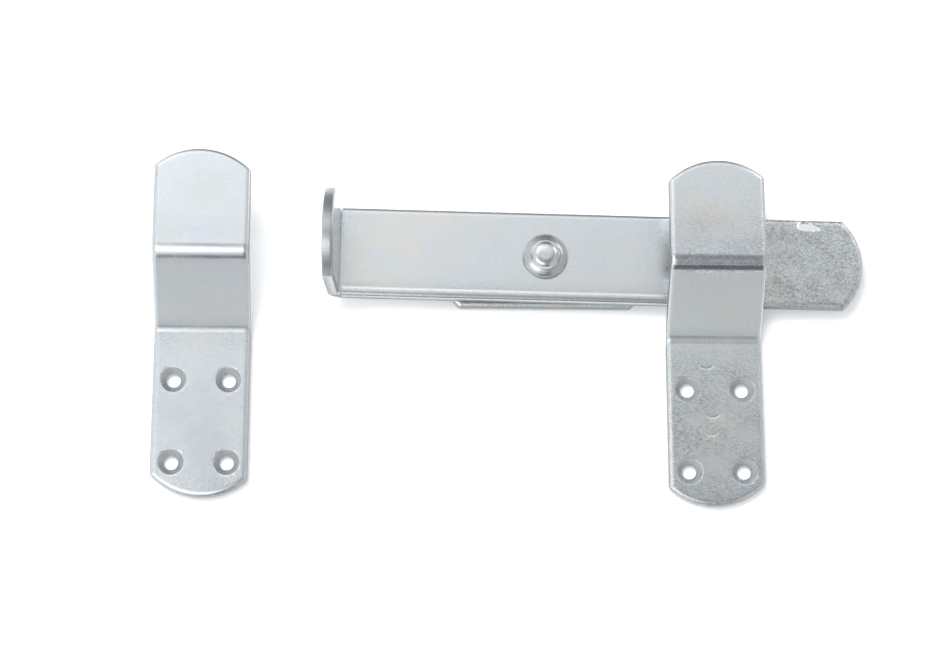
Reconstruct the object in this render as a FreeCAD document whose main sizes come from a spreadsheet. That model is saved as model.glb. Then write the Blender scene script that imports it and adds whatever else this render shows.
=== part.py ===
"""Kick-over gate latch: a flat bar that turns on a riveted pivot and drops into a cranked keeper.

Frame: the fixing faces of the plate and of both keepers lie in z = 0 and +Z points away from the
gate. The origin is where the pivot axis meets that plane. +X runs along the bar towards its plain
end, and +Y is up the gate, the way the keepers' hooks open. Sizes are in millimetres and degrees.
"""

import FreeCAD, Part
import math
import os

import Sketcher

DRIVING_SIZES = {
    # keepers: one strip of steel each, with a base, a sloping crank and a raised hook
    "keeper_width": 35,
    "keeper_thickness": 4,
    "keeper_base_length": 63.4,
    "crank_run": 24,
    "hook_length": 37.7,
    "hook_standoff": 20,
    "crank_bend_radius": 5,
    "keeper_end_radius": 25,
    "keeper_screw_across": 20,
    "keeper_screw_along": 30.5,
    "keeper_screw_from_end": 12.6,
    # screw holes, the same in the keepers and in the plate
    "screw_hole_diameter": 5,
    "screw_sink_diameter": 9.4,
    "screw_sink_angle": 90,
    # kick bar
    "bar_width": 33.8,
    "bar_thickness": 4,
    "long_arm": 118,
    "short_arm": 79.3,
    "lip_height": 34.5,
    "lip_bend_angle": 94,
    "lip_bend_radius": 1.2,
    "bar_end_radius": 23.5,
    "bar_droop": 1,
    # back plate
    "plate_length": 67,
    "plate_width": 36,
    "plate_thickness": 3,
    "plate_corner": 2,
    "plate_screw_along": 50,
    "plate_screw_across": 20,
    # pivot
    "pivot_diameter": 8,
    "pivot_clearance": 0.06,
    "running_gap": 0.1,
    "washer_diameter": 18,
    "washer_thickness": 1.5,
    "rivet_rim_diameter": 16.8,
    "rivet_rim_height": 1.0,
    "rivet_step_height": 2.6,
    "rivet_dome_diameter": 10.8,
    "rivet_dome_height": 4.0,
    "rivet_step_radius": 3.5,
    "rivet_tail_size": 1.5,
    # rounding of the sheared edges on the front of keepers and bar, and of their outlines' corners
    "edge_round": 0.8,
    "corner_round": 1.2,
    # places of the keepers about the pivot
    "keeper_left_distance": 125.5,
    "keeper_right_distance": 62.2,
    "keeper_stagger": 2.2,
    "rest_gap": 0.3,
}

# derived sizes, as expressions on the sheet
BAR_UNDERSIDE = "(Sizes.plate_thickness + Sizes.washer_thickness + Sizes.running_gap)"
BAR_FRONT = f"({BAR_UNDERSIDE} + Sizes.bar_thickness)"
RIVET_HEAD_SEAT = f"({BAR_FRONT} + Sizes.running_gap)"
BAR_BORE = "(Sizes.pivot_diameter + 2 * Sizes.pivot_clearance)"
# the drooping bar's lower edge is lowest above the far side of the right keeper, and its front corner
# meets the back of the crank there: the rounded corner lets the crank come nearer
BAR_LOW_EDGE = (
    "(Sizes.bar_width / 2 / cos(Sizes.bar_droop * 1deg)"
    " + (Sizes.keeper_right_distance + Sizes.keeper_width / 2) * tan(Sizes.bar_droop * 1deg))"
)
CRANK_SLOPE = "atan(Sizes.hook_standoff / Sizes.crank_run)"
ROUND_RELIEF = f"(Sizes.edge_round * (sin({CRANK_SLOPE}) + cos({CRANK_SLOPE}) - 1))"
RIGHT_KEEPER_DROP = (
    f"({BAR_LOW_EDGE} + {BAR_FRONT} * Sizes.crank_run / Sizes.hook_standoff"
    f" + (Sizes.rest_gap - {ROUND_RELIEF}) / sin({CRANK_SLOPE}))"
)

MARGIN = 5  # how far a cut reaches past the steel it trims
NEAR = 1e-4

doc = FreeCAD.newDocument("GateLatch")


def make_sheet():
    sheet = doc.addObject("Spreadsheet::Sheet", "Sizes")
    for row, (alias, value) in enumerate(DRIVING_SIZES.items(), start=1):
        sheet.set(f"A{row}", alias)
        sheet.set(f"B{row}", str(value))
        sheet.setAlias(f"B{row}", alias)
    doc.recompute()
    return sheet


sizes = make_sheet()


def new_body(label):
    body = doc.addObject("PartDesign::Body", label)
    body.Label = label
    return body


def new_sketch(body, name, plane, lift=None):
    """A sketch on one of the body's own origin planes, raised along its normal by an expression."""
    sketch = body.newObject("Sketcher::SketchObject", name)
    origin_plane = next(feature for feature in body.Origin.OriginFeatures if feature.Role == plane)
    sketch.AttachmentSupport = (origin_plane, [""])
    sketch.MapMode = "FlatFace"
    if lift:
        sketch.setExpression("AttachmentOffset.Base.z", lift)
    return sketch


def add_outline(sketch, points):
    """A closed polygon of joined lines. Returns the lines' numbers, in the order of the points."""
    lines = []
    for start, end in zip(points, points[1:] + points[:1]):
        line = Part.LineSegment(FreeCAD.Vector(*start, 0), FreeCAD.Vector(*end, 0))
        lines.append(sketch.addGeometry(line, False))
    for line, following in zip(lines, lines[1:] + lines[:1]):
        sketch.addConstraint(Sketcher.Constraint("Coincident", line, 2, following, 1))
    return lines


def value_of(expression):
    """What an expression on the sheet gives now."""
    value = sizes.evalExpression(expression)
    return float(getattr(value, "Value", value))


def fix(sketch, name, kind, *places, size):
    """A named dimension that follows an expression on the sheet."""
    number = sketch.addConstraint(Sketcher.Constraint(kind, *places, value_of(size)))
    sketch.renameConstraint(number, name)
    sketch.setExpression(f"Constraints.{name}", size)


def hold(sketch, kind, *places):
    sketch.addConstraint(Sketcher.Constraint(kind, *places))


def pad_profile(body, sketch, width):
    """The first solid of a body: its side profile, given an equal width each side of the plane."""
    doc.recompute()
    pad = body.newObject("PartDesign::Pad", f"{body.Name}_pad")
    pad.Profile = sketch
    pad.SideType = "Symmetric"
    pad.setExpression("Length", width)
    doc.recompute()


def pocket_through(body, sketch, name):
    """A cut both ways through the body, which must take some steel away."""
    before = body.Shape.Volume
    pocket = body.newObject("PartDesign::Pocket", name)
    pocket.Profile = sketch
    pocket.SideType = "Symmetric"
    pocket.Type = "ThroughAll"
    doc.recompute()
    if body.Shape.Volume > before - NEAR:
        raise RuntimeError(f"{name} cuts nothing")


def edges_through(shape, points):
    """The names of the edges that pass through the given points."""
    names = []
    for number, edge in enumerate(shape.Edges, start=1):
        if any(edge.distToShape(Part.Vertex(*point))[0] < NEAR for point in points):
            names.append(f"Edge{number}")
    return names


def dress_edges(body, name, kind, points, size_name, size):
    """A fillet or chamfer on the edges through the points, and on those that run on smoothly."""
    base = body.Tip
    names = edges_through(base.Shape, points)
    if len(names) < len(points):
        raise RuntimeError(f"{name} found {len(names)} edges for {len(points)} points")
    dressing = body.newObject(f"PartDesign::{kind}", name)
    dressing.Base = (base, names)
    dressing.setExpression(size_name, size)
    doc.recompute()


def round_edges(body, name, points, radius):
    dress_edges(body, name, "Fillet", points, "Radius", radius)


def chamfer_edges(body, name, points, size):
    dress_edges(body, name, "Chamfer", points, "Size", size)


def arc_sagitta(width, radius):
    """How far an arc end of this radius stands out beyond its corners."""
    return radius - math.sqrt(radius**2 - width**2 / 4)


def trim_end(body, name, plane, turn, tip, width, radius):
    """Rounds an end to an arc. turn swings the sketch about its normal until +v points out of the end."""
    sketch = new_sketch(body, f"{name}_sketch", plane)
    sketch.AttachmentOffset = FreeCAD.Placement(
        FreeCAD.Vector(0, 0, 0), FreeCAD.Rotation(FreeCAD.Vector(0, 0, 1), turn)
    )
    tip_now, half, round_now = value_of(tip), value_of(width) / 2, value_of(radius)
    spread = math.acos(half / round_now)
    centre = FreeCAD.Vector(0, tip_now - round_now, 0)
    circle = Part.Circle(centre, FreeCAD.Vector(0, 0, 1), round_now)
    arc = sketch.addGeometry(Part.ArcOfCircle(circle, spread, math.pi - spread), False)
    right, left = sketch.getPoint(arc, 1), sketch.getPoint(arc, 2)
    corners = [
        FreeCAD.Vector(left.x, left.y, 0),
        FreeCAD.Vector(left.x, tip_now + MARGIN, 0),
        FreeCAD.Vector(right.x, tip_now + MARGIN, 0),
        FreeCAD.Vector(right.x, right.y, 0),
    ]
    sides = [sketch.addGeometry(Part.LineSegment(a, b), False) for a, b in zip(corners, corners[1:])]
    up, across, down = sides
    hold(sketch, "Coincident", arc, 2, up, 1)
    hold(sketch, "Coincident", up, 2, across, 1)
    hold(sketch, "Coincident", across, 2, down, 1)
    hold(sketch, "Coincident", down, 2, arc, 1)
    hold(sketch, "Vertical", up)
    hold(sketch, "Vertical", down)
    hold(sketch, "PointOnObject", arc, 3, -2)
    fix(sketch, "Width", "DistanceX", across, 1, across, 2, size=width)
    hold(sketch, "Symmetric", across, 1, across, 2, -2)
    fix(sketch, "Radius", "Radius", arc, size=radius)
    fix(sketch, "Centre", "DistanceY", -1, 1, arc, 3, size=f"{tip} - {radius}")
    fix(sketch, "Reach", "DistanceY", -1, 1, across, 1, size=f"{tip} + {MARGIN}")
    doc.recompute()
    pocket_through(body, sketch, name)


def drill_screw_holes(body, face, across, along, first_y):
    """Four countersunk holes, from the front face down, on a rectangle that starts at first_y."""
    sketch = new_sketch(body, f"{body.Name}_screws", "XY_Plane", lift=face)
    for column in (-1, 1):
        for row in (0, 1):
            side = f"{column} * ({across}) / 2"
            level = f"{first_y} + {row} * ({along})"
            centre = FreeCAD.Vector(column * 10, row * 10 + 1, 0)
            circle = sketch.addGeometry(Part.Circle(centre, FreeCAD.Vector(0, 0, 1), 1), False)
            tag = f"{'Left' if column < 0 else 'Right'}{row}"
            fix(sketch, f"{tag}X", "DistanceX", -1, 1, circle, 3, size=side)
            fix(sketch, f"{tag}Y", "DistanceY", -1, 1, circle, 3, size=level)
            fix(sketch, f"{tag}Size", "Diameter", circle, size="Sizes.screw_hole_diameter")
    doc.recompute()
    before = body.Shape.Volume
    hole = body.newObject("PartDesign::Hole", f"{body.Name}_holes")
    hole.Profile = sketch
    hole.DepthType = "ThroughAll"
    hole.setExpression("Diameter", "Sizes.screw_hole_diameter")
    hole.HoleCutType = "Countersink"
    hole.HoleCutCustomValues = True
    hole.setExpression("HoleCutDiameter", "Sizes.screw_sink_diameter")
    hole.setExpression("HoleCutCountersinkAngle", "Sizes.screw_sink_angle")
    doc.recompute()
    if body.Shape.Volume > before - NEAR:
        raise RuntimeError(f"{body.Name} has no screw holes")


def make_keeper(label, place_x, place_y):
    """A cranked strip. Its own origin is where the back of the base turns into the crank."""
    body = new_body(label)
    base = sizes.keeper_base_length
    run = sizes.crank_run
    tip = run + sizes.hook_length
    thick = sizes.keeper_thickness
    raised = sizes.hook_standoff
    sketch = new_sketch(body, f"{label}_profile", "YZ_Plane")
    mitre = thick * math.tan(math.atan2(raised, run) / 2)
    lines = add_outline(
        sketch,
        [
            (-base, 0),
            (0, 0),
            (run, raised),
            (tip, raised),
            (tip, raised + thick),
            (run - mitre, raised + thick),
            (-mitre, thick),
            (-base, thick),
        ],
    )
    base_back, slope_back, hook_back, hook_end, hook_front, slope_front, base_front, base_end = lines
    hold(sketch, "Coincident", slope_back, 1, -1, 1)
    for line in (base_back, hook_back, hook_front, base_front):
        hold(sketch, "Horizontal", line)
    for line in (hook_end, base_end):
        hold(sketch, "Vertical", line)
    hold(sketch, "Parallel", slope_back, slope_front)
    fix(sketch, "Base", "DistanceX", base_back, 1, base_back, 2, size="Sizes.keeper_base_length")
    fix(sketch, "Run", "DistanceX", slope_back, 1, slope_back, 2, size="Sizes.crank_run")
    fix(sketch, "Rise", "DistanceY", slope_back, 1, slope_back, 2, size="Sizes.hook_standoff")
    fix(sketch, "Hook", "DistanceX", hook_back, 1, hook_back, 2, size="Sizes.hook_length")
    fix(sketch, "HookSteel", "DistanceY", hook_end, 1, hook_end, 2, size="Sizes.keeper_thickness")
    fix(sketch, "BaseSteel", "DistanceY", base_end, 2, base_end, 1, size="Sizes.keeper_thickness")
    fix(sketch, "SlopeSteel", "Distance", slope_front, 1, slope_back, size="Sizes.keeper_thickness")
    pad_profile(body, sketch, "Sizes.keeper_width")

    def corner(line):
        point = sketch.getPoint(line, 2)
        return (0, point.x, point.y)

    inner_bend = "Sizes.crank_bend_radius"
    outer_bend = "Sizes.crank_bend_radius + Sizes.keeper_thickness"
    inner_corners = [corner(slope_back), corner(slope_front)]
    outer_corners = [corner(base_back), corner(hook_front)]
    round_edges(body, f"{label}_inner_bends", inner_corners, inner_bend)
    round_edges(body, f"{label}_outer_bends", outer_corners, outer_bend)
    width, arc = "Sizes.keeper_width", "Sizes.keeper_end_radius"
    hook_tip = "(Sizes.crank_run + Sizes.hook_length)"
    trim_end(body, f"{label}_hook_end", "XY_Plane", 0, hook_tip, width, arc)
    trim_end(body, f"{label}_base_end", "XY_Plane", 180, "Sizes.keeper_base_length", width, arc)
    half = sizes.keeper_width / 2
    sagitta = arc_sagitta(sizes.keeper_width, sizes.keeper_end_radius)
    corners = [(side * half, sagitta - base, thick / 2) for side in (-1, 1)]
    corners += [(side * half, tip - sagitta, raised + thick / 2) for side in (-1, 1)]
    round_edges(body, f"{label}_corners", corners, "Sizes.corner_round")
    front_edges = [
        (-half, -base / 2, thick),
        (half, -base / 2, thick),
        (0, -base, thick),
        (0, tip, raised + thick),
    ]
    round_edges(body, f"{label}_front_round", front_edges, "Sizes.edge_round")
    drill_screw_holes(
        body,
        "Sizes.keeper_thickness",
        "Sizes.keeper_screw_across",
        "Sizes.keeper_screw_along",
        "Sizes.keeper_screw_from_end - Sizes.keeper_base_length",
    )
    body.setExpression("Placement.Base.x", place_x)
    body.setExpression("Placement.Base.y", place_y)


def make_bar():
    """The kick bar. Its own origin is on the pivot axis at the bar's underside."""
    body = new_body("kick_bar")
    plain = sizes.long_arm
    kick = sizes.short_arm
    thick = sizes.bar_thickness
    top = sizes.lip_height
    sketch = new_sketch(body, "kick_bar_profile", "XZ_Plane")
    lines = add_outline(
        sketch,
        [
            (-kick, 0),
            (plain, 0),
            (plain, thick),
            (thick - kick, thick),
            (thick - kick - 1, top),
            (-kick - 1, top),
        ],
    )
    underside, plain_end, front, lip_inside, lip_top, lip_outside = lines
    for line in (underside, front, lip_top):
        hold(sketch, "Horizontal", line)
    hold(sketch, "Vertical", plain_end)
    hold(sketch, "PointOnObject", underside, 1, -1)
    hold(sketch, "Parallel", lip_inside, lip_outside)
    fix(sketch, "Kick", "DistanceX", underside, 1, -1, 1, size="Sizes.short_arm")
    fix(sketch, "Plain", "DistanceX", -1, 1, underside, 2, size="Sizes.long_arm")
    fix(sketch, "Steel", "DistanceY", plain_end, 1, plain_end, 2, size="Sizes.bar_thickness")
    fix(sketch, "LipSteel", "Distance", lip_inside, 1, lip_outside, size="Sizes.bar_thickness")
    fix(sketch, "LipHeight", "DistanceY", lip_outside, 2, lip_outside, 1, size="Sizes.lip_height")
    lean = "Sizes.lip_height * tan((Sizes.lip_bend_angle - 90) * 1deg)"
    fix(sketch, "LipLean", "DistanceX", lip_outside, 1, lip_outside, 2, size=lean)
    pad_profile(body, sketch, "Sizes.bar_width")
    inside = sketch.getPoint(lip_inside, 1)
    lip_tip = sketch.getPoint(lip_inside, 2)
    outer_bend = "Sizes.lip_bend_radius + Sizes.bar_thickness"
    round_edges(body, "kick_bar_inner_bend", [(inside.x, 0, inside.y)], "Sizes.lip_bend_radius")
    round_edges(body, "kick_bar_outer_bend", [(-kick, 0, 0)], outer_bend)
    width, arc = "Sizes.bar_width", "Sizes.bar_end_radius"
    trim_end(body, "kick_bar_plain_end", "XY_Plane", -90, "Sizes.long_arm", width, arc)
    trim_end(body, "kick_bar_lip_end", "YZ_Plane", 0, "Sizes.lip_height", width, arc)
    half = sizes.bar_width / 2
    sagitta = arc_sagitta(sizes.bar_width, sizes.bar_end_radius)
    lip_slope = (lip_tip.x - inside.x) / (lip_tip.y - inside.y)
    lip_corner_x = lip_tip.x - sagitta * lip_slope - thick / 2
    corners = [(plain - sagitta, side * half, thick / 2) for side in (-1, 1)]
    corners += [(lip_corner_x, side * half, top - sagitta) for side in (-1, 1)]
    round_edges(body, "kick_bar_corners", corners, "Sizes.corner_round")
    lip_middle = ((inside.x + lip_tip.x) / 2, (inside.y + lip_tip.y) / 2)
    front_edges = [(0, -half, thick), (0, half, thick), (plain, 0, thick), (lip_tip.x, 0, lip_tip.y)]
    front_edges += [(lip_middle[0], side * half, lip_middle[1]) for side in (-1, 1)]
    round_edges(body, "kick_bar_front_round", front_edges, "Sizes.edge_round")
    bore = new_sketch(body, "kick_bar_bore_sketch", "XY_Plane")
    add_centred_circle(bore, "Bore", BAR_BORE)
    doc.recompute()
    pocket_through(body, bore, "kick_bar_bore")
    body.setExpression("Placement.Base.z", BAR_UNDERSIDE)
    body.setExpression("Placement.Rotation.Yaw", "-Sizes.bar_droop * 1deg")


def add_centred_circle(sketch, name, diameter):
    circle = sketch.addGeometry(Part.Circle(FreeCAD.Vector(0, 0, 0), FreeCAD.Vector(0, 0, 1), 3), False)
    hold(sketch, "Coincident", circle, 3, -1, 1)
    fix(sketch, name, "Diameter", circle, size=diameter)


def make_plate():
    """The back plate, with the rivet's hole sunk from behind for the closed tail."""
    body = new_body("back_plate")
    long_half = sizes.plate_length / 2
    wide_half = sizes.plate_width / 2
    outline = new_sketch(body, "back_plate_outline", "XY_Plane")
    corners = [(-1, -1), (1, -1), (1, 1), (-1, 1)]
    corners = [(x * long_half, y * wide_half) for x, y in corners]
    bottom, right, top, left = add_outline(outline, corners)
    hold(outline, "Horizontal", bottom)
    hold(outline, "Vertical", right)
    hold(outline, "Horizontal", top)
    hold(outline, "Vertical", left)
    hold(outline, "Symmetric", bottom, 1, right, 2, -1, 1)
    fix(outline, "Long", "DistanceX", bottom, 1, bottom, 2, size="Sizes.plate_length")
    fix(outline, "Wide", "DistanceY", right, 1, right, 2, size="Sizes.plate_width")
    doc.recompute()
    pad = body.newObject("PartDesign::Pad", "back_plate_pad")
    pad.Profile = outline
    pad.setExpression("Length", "Sizes.plate_thickness")
    doc.recompute()
    middle = sizes.plate_thickness / 2
    upright = [(x, y, middle) for x, y in corners]
    chamfer_edges(body, "back_plate_corners", upright, "Sizes.plate_corner")
    rivet_hole = new_sketch(body, "back_plate_rivet_sketch", "XY_Plane")
    add_centred_circle(rivet_hole, "Hole", "Sizes.pivot_diameter")
    doc.recompute()
    pocket_through(body, rivet_hole, "back_plate_rivet_hole")
    tail_edge = (0, sizes.pivot_diameter / 2, 0)
    chamfer_edges(body, "back_plate_tail_sink", [tail_edge], "Sizes.rivet_tail_size")
    drill_screw_holes(
        body,
        "Sizes.plate_thickness",
        "Sizes.plate_screw_along",
        "Sizes.plate_screw_across",
        "-Sizes.plate_screw_across / 2",
    )


def make_washer():
    body = new_body("spacer_washer")
    ring = new_sketch(body, "spacer_washer_ring", "XY_Plane")
    add_centred_circle(ring, "Outside", "Sizes.washer_diameter")
    add_centred_circle(ring, "Inside", BAR_BORE)
    doc.recompute()
    pad = body.newObject("PartDesign::Pad", "spacer_washer_pad")
    pad.Profile = ring
    pad.setExpression("Length", "Sizes.washer_thickness")
    body.setExpression("Placement.Base.z", "Sizes.plate_thickness")
    doc.recompute()


def make_rivet():
    """The rivet, turned about Z: closed tail in the plate, shank, rim, convex step and dome."""
    body = new_body("pivot_rivet")
    shank = sizes.pivot_diameter / 2
    tail = sizes.rivet_tail_size
    seat = value_of(RIVET_HEAD_SEAT)
    rim = sizes.rivet_rim_diameter / 2
    dome = sizes.rivet_dome_diameter / 2
    rim_top = seat + sizes.rivet_rim_height
    step_top = seat + sizes.rivet_step_height
    dome_top = seat + sizes.rivet_dome_height
    sketch = new_sketch(body, "pivot_rivet_profile", "XZ_Plane")
    tail_points = [(0, dome_top), (0, 0), (shank + tail, 0), (shank, tail)]
    points = tail_points + [(shank, seat), (rim, seat), (rim, rim_top)]
    lines = []
    for start, end in zip(points, points[1:]):
        line = Part.LineSegment(FreeCAD.Vector(*start, 0), FreeCAD.Vector(*end, 0))
        lines.append(sketch.addGeometry(line, False))
    axis, tail_face, sink, side, under_head, rim_side = lines
    step_bow = FreeCAD.Vector((rim + dome) / 2 + 0.4, (rim_top + step_top) / 2 + 0.6, 0)
    step_arc = Part.Arc(FreeCAD.Vector(rim, rim_top, 0), step_bow, FreeCAD.Vector(dome, step_top, 0))
    dome_bow = FreeCAD.Vector(dome / 2, dome_top - (dome_top - step_top) / 4, 0)
    dome_arc = Part.Arc(FreeCAD.Vector(dome, step_top, 0), dome_bow, FreeCAD.Vector(0, dome_top, 0))
    step = sketch.addGeometry(step_arc, False)
    crown = sketch.addGeometry(dome_arc, False)
    loop = [*lines, step, crown]
    for part, following in zip(loop, loop[1:] + loop[:1]):
        hold(sketch, "Coincident", part, 2, following, 1)
    hold(sketch, "Coincident", axis, 2, -1, 1)
    hold(sketch, "PointOnObject", axis, 1, -2)
    for line in (tail_face, under_head):
        hold(sketch, "Horizontal", line)
    for line in (side, rim_side):
        hold(sketch, "Vertical", line)
    hold(sketch, "PointOnObject", crown, 3, -2)
    radii = [
        ("TailRadius", tail_face, "Sizes.pivot_diameter / 2 + Sizes.rivet_tail_size"),
        ("ShankRadius", sink, "Sizes.pivot_diameter / 2"),
        ("RimRadius", under_head, "Sizes.rivet_rim_diameter / 2"),
        ("DomeRadius", step, "Sizes.rivet_dome_diameter / 2"),
    ]
    for name, piece, size in radii:
        fix(sketch, name, "DistanceX", -1, 1, piece, 2, size=size)
    heights = [
        ("TailHeight", sink, "Sizes.rivet_tail_size"),
        ("SeatHeight", side, RIVET_HEAD_SEAT),
        ("RimHeight", rim_side, f"{RIVET_HEAD_SEAT} + Sizes.rivet_rim_height"),
        ("StepHeight", step, f"{RIVET_HEAD_SEAT} + Sizes.rivet_step_height"),
        ("DomeHeight", crown, f"{RIVET_HEAD_SEAT} + Sizes.rivet_dome_height"),
    ]
    for name, piece, size in heights:
        fix(sketch, name, "DistanceY", -1, 1, piece, 2, size=size)
    fix(sketch, "StepBow", "Radius", step, size="Sizes.rivet_step_radius")
    doc.recompute()
    turned = body.newObject("PartDesign::Revolution", "pivot_rivet_turned")
    turned.Profile = sketch
    turned.ReferenceAxis = (sketch, ["V_Axis"])
    turned.Angle = 360
    doc.recompute()


def write_parts():
    """Checks every object and every solid, then writes one STEP file for each labelled body."""
    for thing in doc.Objects:
        if "Invalid" in thing.State or "Error" in thing.State:
            raise RuntimeError(f"{thing.Label} failed: {thing.State}")
    os.makedirs("parts", exist_ok=True)
    bodies = [thing for thing in doc.Objects if thing.TypeId == "PartDesign::Body"]
    for body in bodies:
        shape = body.Shape
        if shape.isNull() or not shape.isValid() or len(shape.Solids) != 1:
            raise RuntimeError(f"{body.Label} is not one sound solid")
    for body in bodies:
        body.Shape.exportStep(f"parts/{body.Label}.step")
        print(body.Label, round(body.Shape.Volume, 1), "mm3")


make_plate()
make_washer()
make_bar()
make_rivet()
make_keeper("keeper_right", "Sizes.keeper_right_distance", f"-{RIGHT_KEEPER_DROP}")
make_keeper("keeper_left", "-Sizes.keeper_left_distance", f"Sizes.keeper_stagger - {RIGHT_KEEPER_DROP}")
doc.recompute()
write_parts()
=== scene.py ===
"""Looks for a kick-over gate latch: zinc plated strip steel keepers, a kick bar and its riveted pivot."""

import math

import bmesh
import bpy
from bpy.props import FloatProperty, FloatVectorProperty, IntProperty, PointerProperty
from mathutils import Matrix, Vector, noise


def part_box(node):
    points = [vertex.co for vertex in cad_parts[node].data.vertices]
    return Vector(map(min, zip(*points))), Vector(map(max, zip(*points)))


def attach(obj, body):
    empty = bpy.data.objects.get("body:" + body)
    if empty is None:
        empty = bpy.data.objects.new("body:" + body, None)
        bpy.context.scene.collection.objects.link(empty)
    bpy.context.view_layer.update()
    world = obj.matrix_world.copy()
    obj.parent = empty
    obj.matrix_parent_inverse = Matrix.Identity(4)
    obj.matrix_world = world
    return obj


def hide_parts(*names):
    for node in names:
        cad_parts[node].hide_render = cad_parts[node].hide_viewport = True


bl_info = {
    "name": "Gate latch dresser",
    "version": (1, 0, 0),
    "blender": (4, 5, 0),
    "location": "View3D > Sidebar > Gate latch",
    "description": "Builds plated steel looks around the packed gate latch",
    "category": "Object",
}

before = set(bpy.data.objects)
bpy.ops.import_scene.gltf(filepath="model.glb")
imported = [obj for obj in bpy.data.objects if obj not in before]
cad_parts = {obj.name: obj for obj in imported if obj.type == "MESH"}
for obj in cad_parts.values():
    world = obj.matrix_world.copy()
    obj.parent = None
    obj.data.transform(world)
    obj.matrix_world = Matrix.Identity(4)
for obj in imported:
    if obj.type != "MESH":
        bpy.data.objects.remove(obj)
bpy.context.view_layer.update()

MM = 0.001
KEEPERS = ("keeper_left", "keeper_right")
MARKS = ("edge", "grain", "warm", "polish")

SHARP_ANGLE = math.radians(38)
ROLL_STEPS = 7
HOLE_POINTS = 48
WASHER_POINTS = 96


# ---------------------------------------------------------------- settings


def length(name, default_mm, description):
    return FloatProperty(
        name=name, description=description, default=default_mm * MM, min=0.0, unit="LENGTH", precision=5
    )


def angle(name, default, description):
    return FloatProperty(name=name, description=description, default=default, unit="ROTATION")


def share(name, default, description):
    return FloatProperty(name=name, description=description, default=default, min=0.0, max=1.0)


def colour(name, default, description):
    return FloatVectorProperty(
        name=name, description=description, default=default, size=3, min=0.0, max=1.0, subtype="COLOR"
    )


class GateLatchSteel(bpy.types.PropertyGroup):
    thickness: length("Steel", 4.0, "Thickness of the keepers' and the bar's strip")
    roll_width: length("Roll width", 2.0, "How far the sheared edge's roll-over reaches in")
    roll_drop: length("Roll drop", 0.75, "How far the roll-over falls at the outline")
    burr_round: length("Burr round", 0.25, "Rounding of the back edge")
    corner_round: length("Corner round", 1.2, "Rounding of the outline's corners")
    mesh_step: length("Mesh step", 2.5, "Spacing of the mesh on flat steel")
    bend_step: length("Bend step", 0.4, "Spacing of the mesh round a bend")
    ripple: length("Ripple", 0.02, "Height of the slow unevenness left by the rolling mill")


class GateLatchKeeper(bpy.types.PropertyGroup):
    base_length: length("Base", 63.4, "From the base's end to where the back turns into the crank")
    crank_run: length("Crank run", 24.0, "How far along the gate the crank rises")
    hook_standoff: length("Standoff", 20.0, "Gap behind the hook")
    bend_radius: length("Bend radius", 7.0, "Radius of the crank's bends at mid thickness")
    end_radius: length("End radius", 25.0, "Radius of the rounded ends")
    screw_across: length("Screws across", 20.0, "Spacing of the screw holes across the strip")
    screw_along: length("Screws along", 30.5, "Spacing of the screw holes along the strip")
    screw_from_end: length("Screws from end", 12.6, "First pair of screw holes from the base's end")
    hole_diameter: length("Screw hole", 5.0, "Diameter of the screw holes")
    sink_diameter: length("Countersink", 9.4, "Diameter of the countersinks")


class GateLatchBar(bpy.types.PropertyGroup):
    width: length("Width", 33.8, "Width of the bar")
    long_arm: length("Long arm", 118.0, "From the pivot to the plain end")
    short_arm: length("Short arm", 79.3, "From the pivot to the back of the lip")
    bend_radius: length("Bend radius", 3.2, "Radius of the lip's bend at mid thickness")
    lip_lean: angle("Lip lean", math.radians(4.0), "How far the lip leans out past square")
    end_radius: length("End radius", 23.5, "Radius of the rounded ends")
    droop: angle("Droop", math.radians(1.0), "Fall of the plain end at rest")
    bore: length("Bore", 8.12, "Diameter of the hole round the rivet")


class GateLatchRivet(bpy.types.PropertyGroup):
    rim_radius: length("Rim radius", 8.4, "Radius of the set head")
    rim_height: length("Rim height", 1.0, "Height of the head's straight side")
    step_height: length("Step height", 2.6, "Height of the foot of the dome")
    dome_radius: length("Dome radius", 5.4, "Radius of the dome")
    dome_height: length("Dome height", 4.0, "Height of the whole head")
    shank_radius: length("Shank radius", 4.0, "Radius of the shank")
    tail_size: length("Tail", 1.5, "Size of the closed tail in the plate")
    dents: length("Dents", 0.05, "Depth of the setting tool's unevenness")
    around: IntProperty(name="Around", description="Points round the rivet", default=128, min=24)


class GateLatchFinish(bpy.types.PropertyGroup):
    zinc: colour("Zinc", (0.77, 0.815, 0.845), "Reflection of the clean plating")
    warm: colour("Warm patch", (0.835, 0.828, 0.805), "Straw coloured patches in the plating")
    cool: colour("Cool patch", (0.735, 0.775, 0.85), "Lilac blue patches in the plating")
    # the bright edge colour: rubbed metal on the rounded edges, and also a painted highlight on the rivet's
    # dome and beside the bar's lower band
    bright_edge: colour("Bright edge", (0.84, 0.865, 0.885), "Rubbed metal on the rounded edges")
    # the sheared edge colour: dull sheared metal, and also painted shade along the outlines, in the lip's
    # rim, in the countersinks, under the rivet's rim and as a dark line in the right keeper's upper bend
    sheared_edge_and_shade: colour("Sheared edge", (0.22, 0.235, 0.265), "Dull plating on the sheared sides")
    rivet: colour("Rivet", (0.60, 0.615, 0.62), "Reflection of the rivet's steel")
    roughness: share("Roughness", 0.27, "Roughness of the plating")
    grain_size: length("Grain", 0.5, "Size of the plating's crystals")


class GateLatchStage(bpy.types.PropertyGroup):
    target: FloatVectorProperty(
        name="Target",
        description="Point that the camera looks at",
        default=(-0.02745, -0.02393, 0.0),
        unit="LENGTH",
    )
    distance: length("Distance", 840.8, "Camera to target")
    tip: angle("Tip", 0.265, "How far below square on the camera stands")
    side: angle("Side", 0.0397, "How far to the left the camera stands")
    roll: angle("Roll", 0.0094, "How far the camera is rolled")
    lens: FloatProperty(name="Lens", description="Focal length in millimetres", default=87.17)
    floor_colour: colour("Floor", (0.92, 0.92, 0.92), "Colour of the floor")


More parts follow.
